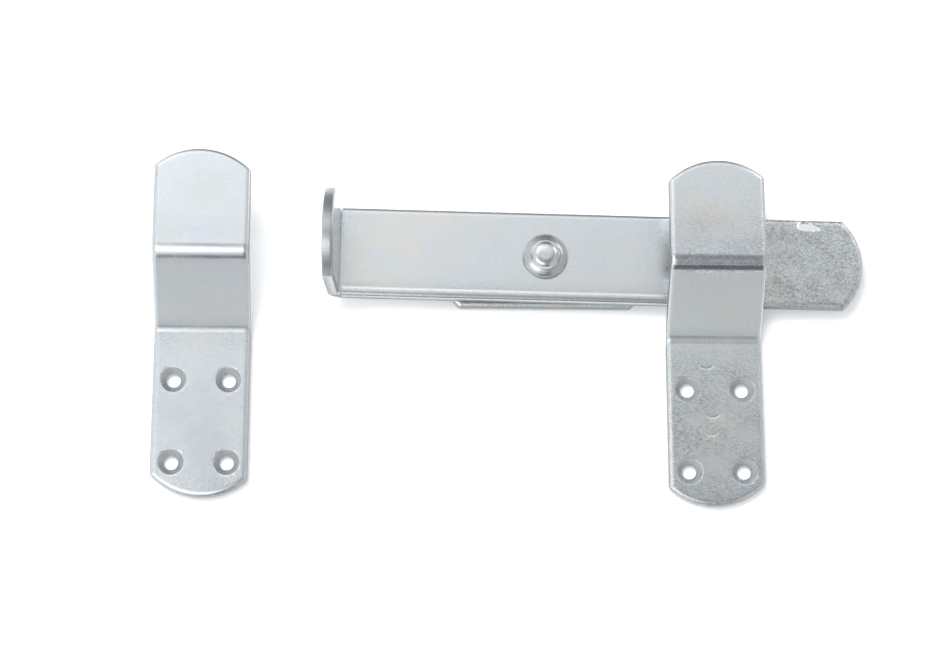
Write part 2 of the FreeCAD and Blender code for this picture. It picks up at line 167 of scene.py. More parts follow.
SETTINGS = {
    "gate_latch_steel": GateLatchSteel,
    "gate_latch_keeper": GateLatchKeeper,
    "gate_latch_bar": GateLatchBar,
    "gate_latch_rivet": GateLatchRivet,
    "gate_latch_finish": GateLatchFinish,
    "gate_latch_stage": GateLatchStage,
}


def settings(name):
    return getattr(bpy.context.scene, f"gate_latch_{name}")


# ---------------------------------------------------------------- mesh helpers


class BentPath:
    """A strip's mid line in its side view: straight runs joined by arcs, found by arc length."""

    def __init__(self, points, radius):
        self.parts = []
        self.bends = []
        self.length = 0.0
        start = Vector(points[0])
        for before, corner, after in zip(points, points[1:], points[2:]):
            corner = Vector(corner)
            into = (corner - Vector(before)).normalized()
            out = (Vector(after) - corner).normalized()
            turn = math.atan2(into.x * out.y - into.y * out.x, into.dot(out))
            reach = radius * math.tan(abs(turn) / 2)
            self.add_run(start, corner - into * reach)
            self.add_arc(corner - into * reach, into, turn, radius)
            start = corner + out * reach
        self.add_run(start, Vector(points[-1]))

    def add_run(self, start, end):
        size = (end - start).length
        self.parts.append((self.length, size, start, (end - start).normalized(), 0.0, 0.0))
        self.length += size

    def add_arc(self, start, along, turn, radius):
        size = radius * abs(turn)
        self.parts.append((self.length, size, start, along, turn, radius))
        self.bends.append((self.length, self.length + size, math.copysign(1.0, turn)))
        self.length += size

    def at(self, s):
        """(point, normal) at arc length s. The normal points to the strip's front."""
        for begin, size, start, along, turn, radius in self.parts:
            if s <= begin + size or begin + size >= self.length - 1e-9:
                break
        across = Vector((-along.y, along.x))
        if not radius:
            return start + along * (s - begin), across
        turned_by = turn * (s - begin) / size
        side = math.copysign(1.0, turn)
        sideways = across * side * radius * (1 - math.cos(turned_by))
        forward = along * radius * math.sin(abs(turned_by))
        return start + sideways + forward, across * math.cos(turned_by) - along * math.sin(turned_by)


class StripOutline:
    """A strip's outline with round ends: v across it and s along it from 0 to its length."""

    least_corner = 0.25 * MM
    arc_count = 28
    corner_count = 5

    def __init__(self, half, full, end_radius, corner):
        self.half = half
        self.full = full
        self.end_radius = end_radius
        self.corner = corner

    def end(self, inset):
        """The points of the far end, from the right-hand side round to the left."""
        corner = max(self.corner - inset, self.least_corner)
        half = self.half - inset
        radius = self.end_radius - inset
        centre = self.full - self.end_radius
        rise = math.sqrt((radius - corner) ** 2 - (half - corner) ** 2)
        turn = math.atan2(rise, half - corner)
        points = []
        for k in range(self.corner_count + 1):
            a = turn * k / self.corner_count
            points.append((half - corner + corner * math.cos(a), centre + rise + corner * math.sin(a)))
        for k in range(1, self.arc_count):
            a = turn + (math.pi - 2 * turn) * k / self.arc_count
            points.append((radius * math.cos(a), centre + radius * math.sin(a)))
        for k in range(self.corner_count + 1):
            a = math.pi - turn + turn * k / self.corner_count
            points.append((corner - half + corner * math.cos(a), centre + rise + corner * math.sin(a)))
        return points

    def ring(self, inset):
        far = self.end(inset)
        near = [(-v, self.full - s) for v, s in far]
        return far + near

    def depth(self, v, s):
        """How far a point lies inside the outline."""
        beyond = max(s - (self.full - self.end_radius), self.end_radius - s)
        side = self.half - abs(v)
        if beyond <= 0:
            return side
        return min(side, self.end_radius - math.hypot(v, beyond))


class PlateOutline:
    """A rectangle with cut corners: v across it and s along it from 0 to its length."""

    def __init__(self, half, full, cut):
        self.half = half
        self.full = full
        self.cut = cut

    def ring(self, inset):
        v = self.half - inset
        low = inset
        high = self.full - inset
        cut = self.cut - inset * (2 - math.sqrt(2))
        return [
            (v, low + cut),
            (v, high - cut),
            (v - cut, high),
            (cut - v, high),
            (-v, high - cut),
            (-v, low + cut),
            (cut - v, low),
            (v - cut, low),
        ]

    def depth(self, v, s):
        return min(self.half - abs(v), s, self.full - s)


def rim_profile(steel, thickness):
    """(inset, height) of each ring from the front skin, over the rolled edge, down to the back skin."""
    half = thickness / 2
    profile = []
    for k in range(ROLL_STEPS + 1):
        a = math.pi / 2 * k / ROLL_STEPS
        inset = steel.roll_width * (1 - math.sin(a))
        profile.append((inset, half - steel.roll_drop * (1 - math.cos(a))))
    burr = steel.burr_round
    line = 0.4 * MM
    profile.append((0.0, half - steel.roll_drop - line))
    profile.append((0.0, burr - half + line))
    profile.append((0.0, burr - half))
    profile.append((0.3 * burr, 0.3 * burr - half))
    profile.append((burr, -half))
    return profile


def join_rings(bm, rings, outward=True):
    """Quads between rings of equal count, given from the front skin to the back."""
    for upper, lower in zip(rings, rings[1:]):
        count = len(upper)
        for k in range(count):
            after = (k + 1) % count
            quad = [upper[k], lower[k], lower[after], upper[after]]
            bm.faces.new(quad if outward else quad[::-1])


def loop_edges(bm, ring):
    return [bm.edges.get((a, b)) for a, b in zip(ring, ring[1:] + ring[:1])]


def circle(radius, count):
    """Points round a circle, as (x, y)."""
    angles = [2 * math.pi * k / count for k in range(count)]
    return [(radius * math.cos(a), radius * math.sin(a)) for a in angles]


def make_blank(outline, steel, thickness, holes):
    """A flat closed blank with rolled edges.

    Each hole is (v, s, profile), and a profile is (radius, height) of its rings from the front down.
    """
    bm = bmesh.new()
    rings = []
    for inset, height in rim_profile(steel, thickness):
        rings.append([bm.verts.new((v, s, height)) for v, s in outline.ring(inset)])
    join_rings(bm, rings)
    front = loop_edges(bm, rings[0])
    back = loop_edges(bm, rings[-1])
    for v, s, profile in holes:
        hole_rings = []
        for radius, height in profile:
            points = circle(radius, HOLE_POINTS)
            hole_rings.append([bm.verts.new((v + x, s + y, height)) for x, y in points])
        join_rings(bm, hole_rings, outward=False)
        front += loop_edges(bm, hole_rings[0])
        back += loop_edges(bm, hole_rings[-1])
    bmesh.ops.triangle_fill(bm, use_beauty=True, edges=front, normal=(0, 0, 1))
    bmesh.ops.triangle_fill(bm, use_beauty=True, edges=back, normal=(0, 0, -1))
    return bm


def cut_at(bm, axis, places):
    """Cuts the mesh by planes square to axis, so that it can bend there."""
    normal = [0, 0, 0]
    normal[axis] = 1
    for place in places:
        at = [0, 0, 0]
        at[axis] = place
        geometry = bm.verts[:] + bm.edges[:] + bm.faces[:]
        bmesh.ops.bisect_plane(bm, geom=geometry, dist=1e-7, plane_co=at, plane_no=normal)


def spaced(low, high, step):
    count = max(1, math.ceil((high - low) / step))
    return [low + (high - low) * k / count for k in range(1, count)]


def stations(path, steel):
    """Where a strip is cut across: closely in its bends and widely between them."""
    places = []
    last = 0.0
    for begin, end, _ in path.bends:
        places += spaced(last, begin, steel.mesh_step) + [begin]
        places += spaced(begin, end, steel.bend_step) + [end]
        last = end
    return places + spaced(last, path.length, steel.mesh_step)


def slow_noise(point, size, seed):
    return noise.noise(point / size + Vector((seed, 2.3 * seed, 5.1)))


def smooth_step(x, low, high):
    t = min(1.0, max(0.0, (x - low) / (high - low)))
    return t * t * (3 - 2 * t)


def bump_at(x, centre, width):
    return math.exp(-(((x - centre) / width) ** 2))


def add_marks(marks, *values):
    for name, value in zip(MARKS, values):
        marks[name].append(value)


def finish_piece(name, bm, marks, material, body, node):
    """Turns a bmesh into a named piece with smooth shading, its marks and its material, attaches it to its
    body and hides the packed part.
    """
    bmesh.ops.recalc_face_normals(bm, faces=bm.faces[:])
    mesh = bpy.data.meshes.new(name)
    bm.to_mesh(mesh)
    bm.free()
    for label, values in marks.items():
        mesh.attributes.new(label, "FLOAT", "POINT").data.foreach_set("value", values)
    mesh.polygons.foreach_set("use_smooth", [True] * len(mesh.polygons))
    mesh.set_sharp_from_angle(angle=SHARP_ANGLE)
    piece = bpy.data.objects.new(name, mesh)
    bpy.context.scene.collection.objects.link(piece)
    weighted = piece.modifiers.new("Even shading", "WEIGHTED_NORMAL")
    weighted.keep_sharp = True
    mesh.materials.append(material)
    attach(piece, body)
    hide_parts(node)


# ---------------------------------------------------------------- materials


def new_group(name, inputs, outputs):
    """An empty shader node group. Each input is (name, socket type, default)."""
    tree = bpy.data.node_groups.new(name, "ShaderNodeTree")
    for label, kind, default in inputs:
        socket = tree.interface.new_socket(name=label, in_out="INPUT", socket_type=kind)
        if default is not None:
            socket.default_value = default
    for label, kind in outputs:
        tree.interface.new_socket(name=label, in_out="OUTPUT", socket_type=kind)
    return tree, tree.nodes.new("NodeGroupInput"), tree.nodes.new("NodeGroupOutput")


def add(tree, kind, values=None, **options):
    node = tree.nodes.new(kind)
    for key, value in options.items():
        setattr(node, key, value)
    for key, value in (values or {}).items():
        node.inputs[key].default_value = value
    return node


def math_node(tree, operation, first, second=None):
    node = add(tree, "ShaderNodeMath", operation=operation)
    for place, value in enumerate((first, second)):
        if isinstance(value, (int, float)):
            node.inputs[place].default_value = value
        elif value is not None:
            tree.links.new(value, node.inputs[place])
    return node.outputs[0]


def mix_colour(tree, factor, first, second):
    node = add(tree, "ShaderNodeMix", data_type="RGBA")
    colour_inputs = [socket for socket in node.inputs if socket.type == "RGBA"]
    inputs = (node.inputs[0], *colour_inputs[:2])
    for socket, value in zip(inputs, (factor, first, second)):
        if isinstance(value, bpy.types.NodeSocket):
            tree.links.new(value, socket)
        else:
            socket.default_value = value
    return [socket for socket in node.outputs if socket.type == "RGBA"][0]


def mix_value(tree, factor, first, second):
    node = add(tree, "ShaderNodeMix", data_type="FLOAT")
    for place, value in ((0, factor), (2, first), (3, second)):
        if isinstance(value, (int, float)):
            node.inputs[place].default_value = value
        else:
            tree.links.new(value, node.inputs[place])
    return node.outputs[0]


def map_range(tree, value, low, high, to_low, to_high, kind="SMOOTHSTEP"):
    node = add(tree, "ShaderNodeMapRange", interpolation_type=kind)
    tree.links.new(value, node.inputs["Value"])
    ends = {"From Min": low, "From Max": high, "To Min": to_low, "To Max": to_high}
    for key, number in ends.items():
        node.inputs[key].default_value = number
    return node.outputs["Result"]


def grain_group():
    """The crystals of the plating: a fine height and a fine mask of dull and bright specks."""
    tree, start, end = new_group(
        "Zinc grain",
        [("Vector", "NodeSocketVector", None), ("Size", "NodeSocketFloat", 0.0005)],
        [("Height", "NodeSocketFloat"), ("Specks", "NodeSocketFloat")],
    )
    scale = math_node(tree, "DIVIDE", 1.0, start.outputs["Size"])
    fine = add(tree, "ShaderNodeTexNoise", {"Detail": 3.0, "Roughness": 0.65})
    cells = add(tree, "ShaderNodeTexVoronoi", {"Randomness": 1.0}, feature="F1")
    for node in (fine, cells):
        tree.links.new(start.outputs["Vector"], node.inputs["Vector"])
    tree.links.new(scale, fine.inputs["Scale"])
    tree.links.new(math_node(tree, "MULTIPLY", scale, 0.7), cells.inputs["Scale"])
    cell_height = math_node(tree, "MULTIPLY", cells.outputs["Distance"], 0.35)
    height = math_node(tree, "ADD", fine.outputs[0], cell_height)
    tree.links.new(height, end.inputs["Height"])
    split = add(tree, "ShaderNodeSeparateColor")
    tree.links.new(cells.outputs["Color"], split.inputs[0])
    tree.links.new(split.outputs[0], end.inputs["Specks"])
    return tree


def tint_group():
    """Slow patches of straw and lilac over the plating's own colour."""
    tree, start, end = new_group(
        "Zinc tint",
        [
            ("Vector", "NodeSocketVector", None),
            ("Zinc", "NodeSocketColor", (0.8, 0.8, 0.8, 1)),
            ("Warm", "NodeSocketColor", (0.8, 0.8, 0.7, 1)),
            ("Cool", "NodeSocketColor", (0.7, 0.7, 0.8, 1)),
            ("Bias", "NodeSocketFloat", 0.0),
        ],
        [("Color", "NodeSocketColor"), ("Cloud", "NodeSocketFloat")],
    )
    large = add(tree, "ShaderNodeTexNoise", {"Scale": 38.0, "Detail": 3.0, "Roughness": 0.55})
    small = add(tree, "ShaderNodeTexNoise", {"Scale": 150.0, "Detail": 4.0, "Roughness": 0.6})
    for node in (large, small):
        tree.links.new(start.outputs["Vector"], node.inputs["Vector"])
    cloud = math_node(tree, "ADD", large.outputs[0], math_node(tree, "MULTIPLY", small.outputs[0], 0.35))
    cloud = math_node(tree, "ADD", cloud, start.outputs["Bias"])
    warm = map_range(tree, cloud, 0.70, 0.98, 0.0, 0.9)
    cool = map_range(tree, cloud, 0.64, 0.46, 0.0, 0.7)
    tinted = mix_colour(tree, warm, start.outputs["Zinc"], start.outputs["Warm"])
    tinted = mix_colour(tree, cool, tinted, start.outputs["Cool"])
    tree.links.new(tinted, end.inputs["Color"])
    tree.links.new(cloud, end.inputs["Cloud"])
    return tree


# the edge mark's ranges that turn plating into the bright colour (rubbed metal, and a painted highlight on
# the rivet's dome and beside the bar's band), and that into the dark colour (dull sheared metal, and
# painted shade along outlines and in hollows)
RUBBED_AND_HIGHLIGHT_RANGE = (0.15, 0.60)
SHEARED_AND_SHADE_RANGE = (0.86, 1.0)


def edge_group():
    """The bright colour, broken up by noise: rubbed metal on the rounded edges and painted highlights. The
    dark colour: dull metal on the sheared sides, and painted shade along outlines and in hollows.
    """
    tree, start, end = new_group(
        "Edge wear and painted light",
        [
            ("Vector", "NodeSocketVector", None),
            ("Edge", "NodeSocketFloat", 0.0),
            ("Color", "NodeSocketColor", (0.8, 0.8, 0.8, 1)),
            ("Bright", "NodeSocketColor", (0.9, 0.9, 0.9, 1)),
            ("Dull", "NodeSocketColor", (0.4, 0.4, 0.4, 1)),
            ("Roughness", "NodeSocketFloat", 0.3),
        ],
        [("Color", "NodeSocketColor"), ("Roughness", "NodeSocketFloat")],
    )
    broken = add(tree, "ShaderNodeTexNoise", {"Scale": 260.0, "Detail": 4.0, "Roughness": 0.7})
    tree.links.new(start.outputs["Vector"], broken.inputs["Vector"])
    amount = map_range(tree, start.outputs["Edge"], *RUBBED_AND_HIGHLIGHT_RANGE, 0.0, 1.0)
    worn_and_highlit = math_node(tree, "MULTIPLY", amount, map_range(tree, broken.outputs[0], 0.30, 0.62, 0.25, 1.0))
    # the dark colour's share: dull sheared metal, and painted shade along outlines and in hollows
    sheared = map_range(tree, start.outputs["Edge"], *SHEARED_AND_SHADE_RANGE, 0.0, 1.0)
    rubbed_and_highlit = mix_colour(tree, worn_and_highlit, start.outputs["Color"], start.outputs["Bright"])
    tree.links.new(mix_colour(tree, sheared, rubbed_and_highlit, start.outputs["Dull"]), end.inputs["Color"])
    smoother = math_node(tree, "MULTIPLY", worn_and_highlit, -0.06)
    rough = math_node(tree, "ADD", start.outputs["Roughness"], smoother)
    rough = math_node(tree, "ADD", rough, math_node(tree, "MULTIPLY", sheared, 0.16))
    tree.links.new(rough, end.inputs["Roughness"])
    return tree


GROUPS = {}


def group(name):
    """A shared node group, built the first time it is asked for."""
    makers = {"grain": grain_group, "tint": tint_group, "edge": edge_group}
    if name not in GROUPS:
        GROUPS[name] = makers[name]()
    return GROUPS[name]


def opaque(rgb):
    return (*rgb, 1.0)


def place_group(tree, name, values):
    node = add(tree, "ShaderNodeGroup", node_tree=group(name))
    for key, value in values.items():
        node.inputs[key].default_value = value
    return node


# how strongly the marks and the groups change the plating; the grain mark also darkens the colour
SPECK_CONTRAST = 0.30
GRAIN_DARKENING = 0.40
SPECK_ROUGHNESS = 0.10
CLOUD_ROUGHNESS = 0.04
POLISH_ROUGHNESS = -0.08
LEAST_GRAIN = 0.12


def mark_input(tree, name):
    return add(tree, "ShaderNodeAttribute", attribute_name=name).outputs["Fac"]


def plated_material(name, base, roughness, grain_strength, tint_bias):
    """Zinc plated steel. The mesh's marks say where it is rubbed, grainy, tinted and polished."""
    finish = settings("finish")
    material = bpy.data.materials.new(name)
    material.use_nodes = True
    tree = material.node_tree
    shader = tree.nodes["Principled BSDF"]
    shader.inputs["Metallic"].default_value = 1.0
    place = add(tree, "ShaderNodeTexCoord").outputs["Object"]
    edge_in, grain_in, warm_in, polish_in = [mark_input(tree, mark) for mark in MARKS]

    grain = place_group(tree, "grain", {"Size": finish.grain_size})
    tree.links.new(place, grain.inputs["Vector"])
    tint_values = {
        "Zinc": opaque(base),
        "Warm": opaque(finish.warm),
        "Cool": opaque(finish.cool),
    }
    tint = place_group(tree, "tint", tint_values)
    tree.links.new(place, tint.inputs["Vector"])
    tree.links.new(math_node(tree, "ADD", warm_in, tint_bias), tint.inputs["Bias"])

    specks = map_range(tree, grain.outputs["Specks"], 0.0, 1.0, -0.5, 0.5)
    speck_depth = math_node(tree, "MULTIPLY", specks, grain_in)
    dull = math_node(tree, "ADD", 1.0, math_node(tree, "MULTIPLY", speck_depth, SPECK_CONTRAST))
    # darker where the grain mark is high
    dull = math_node(tree, "SUBTRACT", dull, math_node(tree, "MULTIPLY", grain_in, GRAIN_DARKENING))
    speckled = add(tree, "ShaderNodeVectorMath", operation="SCALE")
    tree.links.new(tint.outputs["Color"], speckled.inputs[0])
    tree.links.new(dull, speckled.inputs["Scale"])
    rough = math_node(tree, "ADD", roughness, math_node(tree, "MULTIPLY", speck_depth, SPECK_ROUGHNESS))
    cloud = map_range(tree, tint.outputs["Cloud"], 0.4, 1.0, -CLOUD_ROUGHNESS, CLOUD_ROUGHNESS)
    rough = math_node(tree, "ADD", rough, cloud)
    rough = math_node(tree, "ADD", rough, math_node(tree, "MULTIPLY", polish_in, POLISH_ROUGHNESS))

    edge_values = {"Bright": opaque(finish.bright_edge), "Dull": opaque(finish.sheared_edge_and_shade)}
    edge = place_group(tree, "edge", edge_values)
    tree.links.new(place, edge.inputs["Vector"])
    tree.links.new(edge_in, edge.inputs["Edge"])
    tree.links.new(speckled.outputs[0], edge.inputs["Color"])
    tree.links.new(rough, edge.inputs["Roughness"])
    tree.links.new(edge.outputs["Color"], shader.inputs["Base Color"])
    tree.links.new(edge.outputs["Roughness"], shader.inputs["Roughness"])

    some_grain = math_node(tree, "ADD", grain_in, LEAST_GRAIN)
    depth = math_node(tree, "MULTIPLY", grain.outputs["Height"], some_grain)
    bump = add(tree, "ShaderNodeBump", {"Strength": grain_strength, "Distance": finish.grain_size * 0.5})
    tree.links.new(depth, bump.inputs["Height"])
    tree.links.new(bump.outputs[0], shader.inputs["Normal"])
    return material


def floor_material():
    stage = settings("stage")
    material = bpy.data.materials.new("Pale floor")
    material.use_nodes = True
    tree = material.node_tree
    shader = tree.nodes["Principled BSDF"]
    shader.inputs["Roughness"].default_value = 0.9
    shader.inputs["Specular IOR Level"].default_value = 0.1
    shader.inputs["Base Color"].default_value = opaque(stage.floor_colour)
    shader.inputs["Emission Color"].default_value = (1, 1, 1, 1)
    shader.inputs["Emission Strength"].default_value = 0.22
    return material


# ---------------------------------------------------------------- pieces


# edge marks of whole faces: bright below the sheared range, and darker the nearer they come to its end; the
# dark end is dull sheared metal and also painted shade, on the sides and ends, the lip's rim and the
# countersinks
# the bright mark: rubbed metal on the tool marks and the nick, and a painted highlight line beside the
# bar's band
RUBBED_AND_HIGHLIGHT = 0.5
SCREW_SINK_SHADE = 0.92
STRIP_END = 0.93
LIP_RIM_SHADE = 0.94
PLATE_SIDE = 0.94
STRIP_SIDE = 0.975

# how far the marks of the two sharp lines of a sheared side spread over it; they draw these lines dark, as
# dull metal and as painted shade along the outline
ROLL_LINE = 0.3 * MM
BURR_LINE = 0.4 * MM

# a bend stretches the steel on its outside, which draws the strip's edges in
NECKING = 0.22 * MM
BEND_EASE = 1.5 * MM

# an end that is out of square fades into the strip, and is kept clear of the strip's full length
SLANT_FADE = 5 * MM
SLANT_MARGIN = 0.05 * MM
SLANTS = {"keeper_left": -0.052, "keeper_right": 0.042}

RIPPLE_LENGTH = 14 * MM


def edge_mark(depth, w, steel, thickness, side):
    """How near a point is to a sheared edge: 1 on the outline's two sharp lines and 0 on open faces. Near 1
    the colour is dark, dull metal and painted shade along the outline; across the front roll it passes
    through the bright colour.
    """
    half = thickness / 2
    if depth > 0.3 * steel.burr_round or w > half - steel.roll_drop:
        return max(0.0, 1 - max(depth, 0.0) / steel.roll_width) if w > 0 else 0.0
    upper = bump_at(w, half - steel.roll_drop, ROLL_LINE)
    lower = bump_at(w, -half, BURR_LINE)
    return max(upper, lower, side)


def askew(v, s, outline, slant):
    """How far a point near a strip's end moves along it. slant is the end's slope across the strip."""
    far = s > outline.full / 2
    beyond = s - (outline.full - outline.end_radius) if far else outline.end_radius - s
    if beyond <= 0:
        return 0.0
    near_end = 1 - smooth_step(outline.end_radius - math.hypot(v, beyond), 0.0, SLANT_FADE)
    return near_end * (slant * v + (-SLANT_MARGIN if far else SLANT_MARGIN))


def drawn_in(v, s, w, outline, path, half):
    """v, moved in where a bend stretches the strip's edge. half is half the strip's thickness."""
    for begin, end, side in path.bends:
        inside = smooth_step(s, begin - BEND_EASE, begin + BEND_EASE)
        inside *= 1 - smooth_step(s, end - BEND_EASE, end + BEND_EASE)
        stretched = max(0.0, -side * w / half)
        rim = smooth_step(abs(v), 0.6 * outline.half, outline.half)
        v -= math.copysign(NECKING * inside * stretched * rim, v)
    return v


def lay_strip(bm, outline, path, steel, place, looks, slant=0.0):
    """Bends a cut blank along its path and returns its marks.

    place turns (v, along, up) into the frame's axes. looks.at gives (grain, warmth, polish, edge) at a
    point of the blank, and looks.dent the height of its dents. slant is the slope of its ends.
    """
    marks = {name: [] for name in MARKS}
    half = steel.thickness / 2
    for vert in bm.verts:
        v, s, w = vert.co
        depth = outline.depth(v, s)
        front = w > half - 1.5 * steel.roll_drop
        grain, warmth, polish, edge = looks.at(v, s, w)
        side = STRIP_SIDE if abs(v) > outline.half - 0.02 * MM else STRIP_END
        edge = edge or edge_mark(depth, w, steel, steel.thickness, side)
        add_marks(marks, edge, grain, warmth, polish)
        v = drawn_in(v, s, w, outline, path, half)
        if front:
            flatness = smooth_step(depth, 0.0, steel.roll_width)
            w += steel.ripple * flatness * slow_noise(Vector((v, s, 0)), RIPPLE_LENGTH, 3.0)
            w += looks.dent(v, s)
        if slant:
            s += askew(vert.co.x, s, outline, slant)
        point, normal = path.at(s)
        point = point + normal * w
        vert.co = place(v, point.x, point.y)
    return marks


def screw_hole(keeper, thickness):
    """Rings of a countersunk screw hole from the front down."""
    half = thickness / 2
    sink = keeper.sink_diameter / 2
    hole = keeper.hole_diameter / 2
    ease = 0.2 * MM
    slope = sink - hole - ease
    return [
        (sink + 0.15 * MM, half),
        (sink, half - 0.06 * MM),
        (sink - 0.12 * MM, half - ease),
        (hole + 0.08 * MM, half - ease - slope),
        (hole, half - 0.32 * MM - slope),
        (hole, 0.25 * MM - half),
        (hole + 0.15 * MM, -half),
    ]


# middles of the crescent shaped marks left on the right keeper's base: (across, along) in millimetres
TOOL_MARKS = (
    (-3.0, 51.9),
    (-1.2, 33.6),
    (-1.8, 26.9),
)
TOOL_MARK_REACH = 3.2 * MM
TOOL_MARK_LINE = 0.35 * MM
TOOL_MARK_DEPTH = 0.07 * MM

# marks by a keeper's upper bend, measured from the bend's end: a painted dark line, standing in for the
# bend's dark reflection, and the press brake's faint hollow
PAINTED_DARK_LINE_BACK = 4.1 * MM
PAINTED_DARK_LINE_WIDTH = 0.9 * MM
PRESS_HOLLOW_ON = 2.2 * MM
PRESS_HOLLOW_WIDTH = 2.0 * MM


def tool_mark(v, s):
    """1 along the crescent shaped marks, 0 away from them."""
    depth = 0.0
    for across, along in TOOL_MARKS:
        x = v - across * MM
        y = s - along * MM
        if abs(x) < TOOL_MARK_REACH and abs(y) < 2 * MM:
            curve = -1.0 * MM + 1.3 * MM * (x / (3 * MM)) ** 2
            fade = max(0.0, 1 - (x / TOOL_MARK_REACH) ** 2)
            depth = max(depth, bump_at(y, curve, TOOL_MARK_LINE) * fade)
    return depth


class KeeperLooks:
    """Where a keeper's plating is grainy, warm, polished or dull, where shade is painted (a dark line in
    the right keeper's upper bend, and in the countersinks), and how its front is dented.
    """

    def __init__(self, right, half, path, holes, sink_radius):
        self.right = right
        self.half = half
        self.bends = path.bends
        self.holes = holes
        self.sink_radius = sink_radius
        self.lower = path.bends[0][0]
        self.upper = path.bends[1][1]

    def grain(self, v, s):
        """The left keeper sparkles a little, the right one more on its base and above its hook's bend; the
        grain also darkens the colour there.
        """
        grain = 0.10 + 0.15 * bump_at(s, self.lower - 1 * MM, 5 * MM)
        if self.right:
            patch = 0.75 + 1.1 * slow_noise(Vector((v, s, 0)), 11 * MM, 4.0) - 0.2 * v / self.half
            grain += 0.46 * (1 - smooth_step(s, self.lower - 12 * MM, self.lower)) * patch
            grain += 0.50 * bump_at(s, self.upper + 4 * MM, 11 * MM) * patch
            # specks along the painted dark line in the bend
            grain += 0.70 * bump_at(s, self.upper - PAINTED_DARK_LINE_BACK, 1.0 * MM)
        else:
            grain += 0.16 * (1 - smooth_step(s, 0, 14 * MM))
        begin = self.bends[0][1]
        end = self.bends[1][0]
        crank = smooth_step(s, begin, begin + 4 * MM) * (1 - smooth_step(s, end - 3 * MM, end))
        return grain * (1 - 0.85 * crank)

    def polish(self, s):
        """The lower bend is duller than the flats, and the right keeper's upper bend is shinier."""
        polish = 0.0
        for (begin, end, _), shine in zip(self.bends, (-1.1, 1.0 if self.right else 0.0)):
            polish += shine * bump_at(s, (begin + end) / 2, 3.5 * MM)
        return polish

    def warmth(self, v, s):
        if not self.right:
            return -0.04
        warmth = 0.10 * bump_at(v, 6 * MM, 9 * MM) * bump_at(s, 24 * MM, 12 * MM)
        warmth += 0.08 * bump_at(s, self.upper + 12 * MM, 14 * MM)
        return warmth - 0.30 * bump_at(s, self.upper - 2 * MM, 4 * MM)

    def at(self, v, s, w):
        grain = self.grain(v, s)
        warmth = self.warmth(v, s)
        polish = self.polish(s)
        if self.right and w > 0:
            # a painted dark line across the right keeper's upper bend, standing in for a dark reflection
            line = bump_at(s, self.upper - PAINTED_DARK_LINE_BACK, PAINTED_DARK_LINE_WIDTH)
            if line > 0.3 and abs(v) < self.half - 1.0 * MM:
                return grain, warmth, polish, 0.90 + 0.09 * line
            if tool_mark(v, s) > 0.3:
                return 0.0, 0.0, 0.6, RUBBED_AND_HIGHLIGHT
        # the countersinks take part of the dark colour: painted shade in these hollows
        for across, along, _ in self.holes:
            if math.hypot(v - across, s - along) < self.sink_radius - 0.05 * MM:
                return 0.0, 0.0, 0.0, SCREW_SINK_SHADE
        return max(0.0, grain), warmth, polish, 0.0

    def dent(self, v, s):
        """A faint hollow above the upper bend, and the tool marks."""
        depth = -0.07 if self.right else -0.03
        mark = tool_mark(v, s) if self.right else 0.0
        hollow = depth * MM * bump_at(s, self.upper + PRESS_HOLLOW_ON, PRESS_HOLLOW_WIDTH)
        return hollow - TOOL_MARK_DEPTH * mark


def keeper_path(low, high, steel, keeper):
    """The keeper's mid line: flat base, sloping crank and flat hook."""
    mid = steel.thickness / 2
    turn = math.atan2(keeper.hook_standoff, keeper.crank_run)
    shift = mid * math.tan(turn / 2)
    root = low.y + keeper.base_length
    points = [
        (low.y, low.z + mid),
        (root - shift, low.z + mid),
        (root + keeper.crank_run - shift, low.z + keeper.hook_standoff + mid),
        (high.y, low.z + keeper.hook_standoff + mid),
    ]
    return BentPath(points, keeper.bend_radius)


def keeper_holes(steel, keeper):
    holes = []
    profile = screw_hole(keeper, steel.thickness)
    for across in (-0.5, 0.5):
        for along in (0, 1):
            s = keeper.screw_from_end + along * keeper.screw_along
            holes.append((across * keeper.screw_across, s, profile))
    return holes


def make_keeper(node):
    steel = settings("steel")
    keeper = settings("keeper")
    finish = settings("finish")
    low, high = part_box(node)
    half = (high.x - low.x) / 2
    middle_x = (high.x + low.x) / 2
    path = keeper_path(low, high, steel, keeper)
    outline = StripOutline(half, path.length, keeper.end_radius, steel.corner_round)
    holes = keeper_holes(steel, keeper)
    bm = make_blank(outline, steel, steel.thickness, holes)
    cut_at(bm, 0, spaced(-half, half, steel.mesh_step))
    cut_at(bm, 1, stations(path, steel))
    right = node == "keeper_right"
    if right:
        cut_at(bm, 0, [(k * 0.4 - 6) * MM for k in range(23)])
        for _, along in TOOL_MARKS:
            cut_at(bm, 1, [along * MM + k * 0.3 * MM for k in range(-5, 6)])

    def place(v, along, up):
        return (middle_x + v, along, up)

    looks = KeeperLooks(right, half, path, holes, keeper.sink_diameter / 2)
    marks = lay_strip(bm, outline, path, steel, place, looks, SLANTS[node])
    bumps = 0.42 if right else 0.35
    material = plated_material(f"Zinc {node}", finish.zinc, finish.roughness, bumps, 0.0)
    finish_piece(f"{node}_plated", bm, marks, material, "fixed", node)


# the leaf shaped nick in the bar's upper edge: its middle, and half its length and width
NICK_FROM_PIVOT = 98 * MM
NICK_FROM_EDGE = 2.7 * MM
NICK_REACH = 4.6 * MM
NICK_BREADTH = 1.9 * MM

# the band along the bar's lower edge, drawn greyer and cooler towards the edge, the painted highlight line
# beside it, and the shallow groove that sets it off, from the edge in
BAND_WIDTH = 2.75 * MM
BAND_HIGHLIGHT_LINE = 3.0 * MM
BAND_END = 70 * MM
GROOVE_DEPTH = 0.05 * MM
GROOVE_NEAR_SIDE = (2.9 * MM, 3.35 * MM)
GROOVE_FAR_SIDE = (3.5 * MM, 5.5 * MM)

# where the plating turns grainy, and darker, towards the bar's plain end, from the pivot
GRAINY_END = (66 * MM, 88 * MM)


